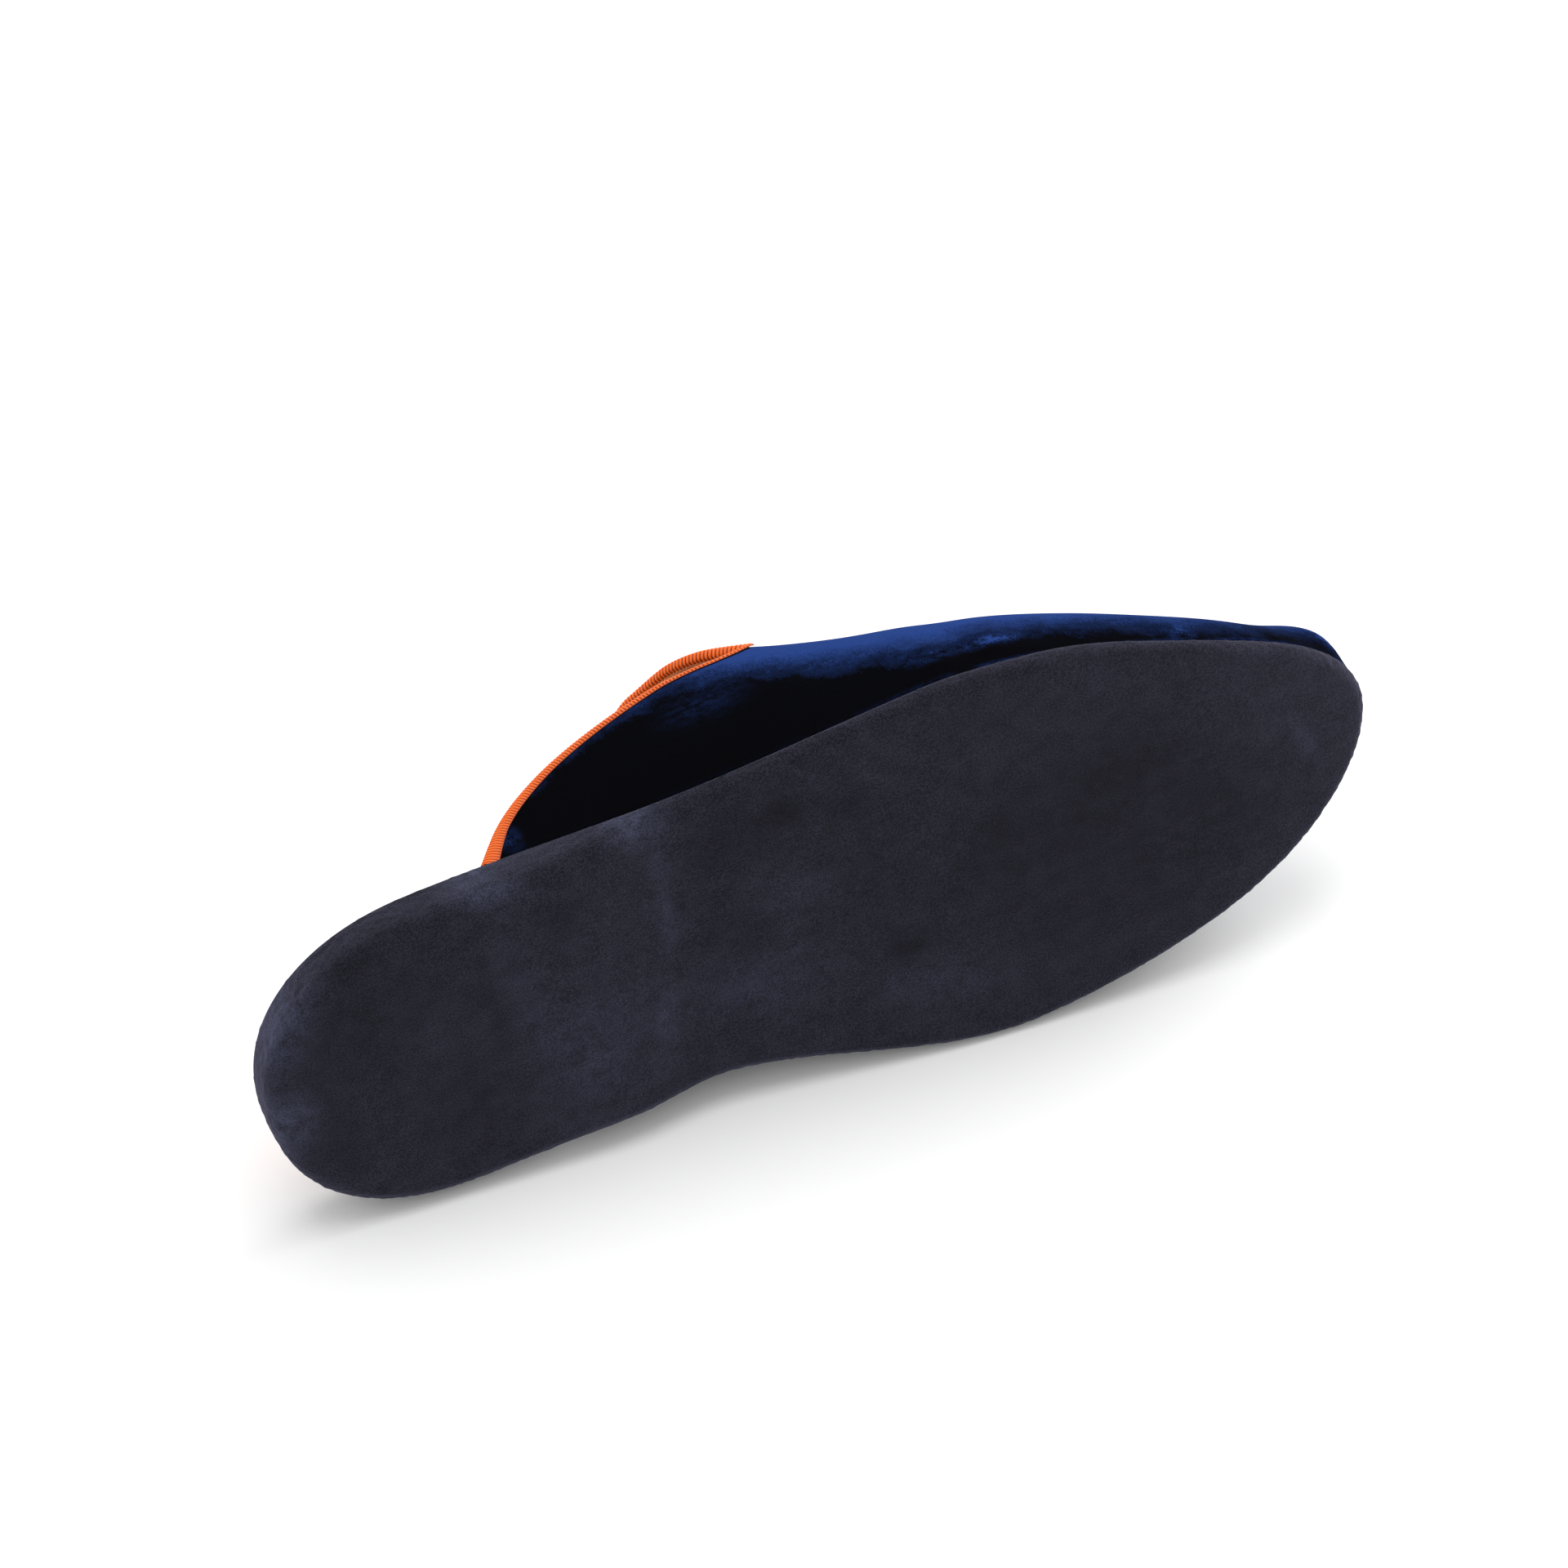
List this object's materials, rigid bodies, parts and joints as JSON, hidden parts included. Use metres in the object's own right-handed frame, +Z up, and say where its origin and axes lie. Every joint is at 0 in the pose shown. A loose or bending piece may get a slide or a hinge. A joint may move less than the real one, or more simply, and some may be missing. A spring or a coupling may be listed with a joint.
{
  "type": "velvet babouche slipper",
  "caption": "Open-backed velvet slipper lying on its side: hollow vamp with a rounded tongue, ribbon-bound collar and low suede sole.",
  "frame": {"origin": "on the floor, at the middle of the lying slipper's box", "axes": "+X from heel to toe, +Z up, the tread facing -Y"},
  "size_m": [0.269, 0.1006, 0.0955],
  "materials": {
    "suede": "brushed navy suede with a short nap",
    "sock_leather": "smooth tan leather",
    "velvet": "deep navy silk velvet",
    "grosgrain": "ribbed orange ribbon"
  },
  "bodies": {
    "root": {"outsole": "suede", "insole": "sock_leather", "upper": "velvet", "collar_binding": "grosgrain"}
  },
  "joints": []
}
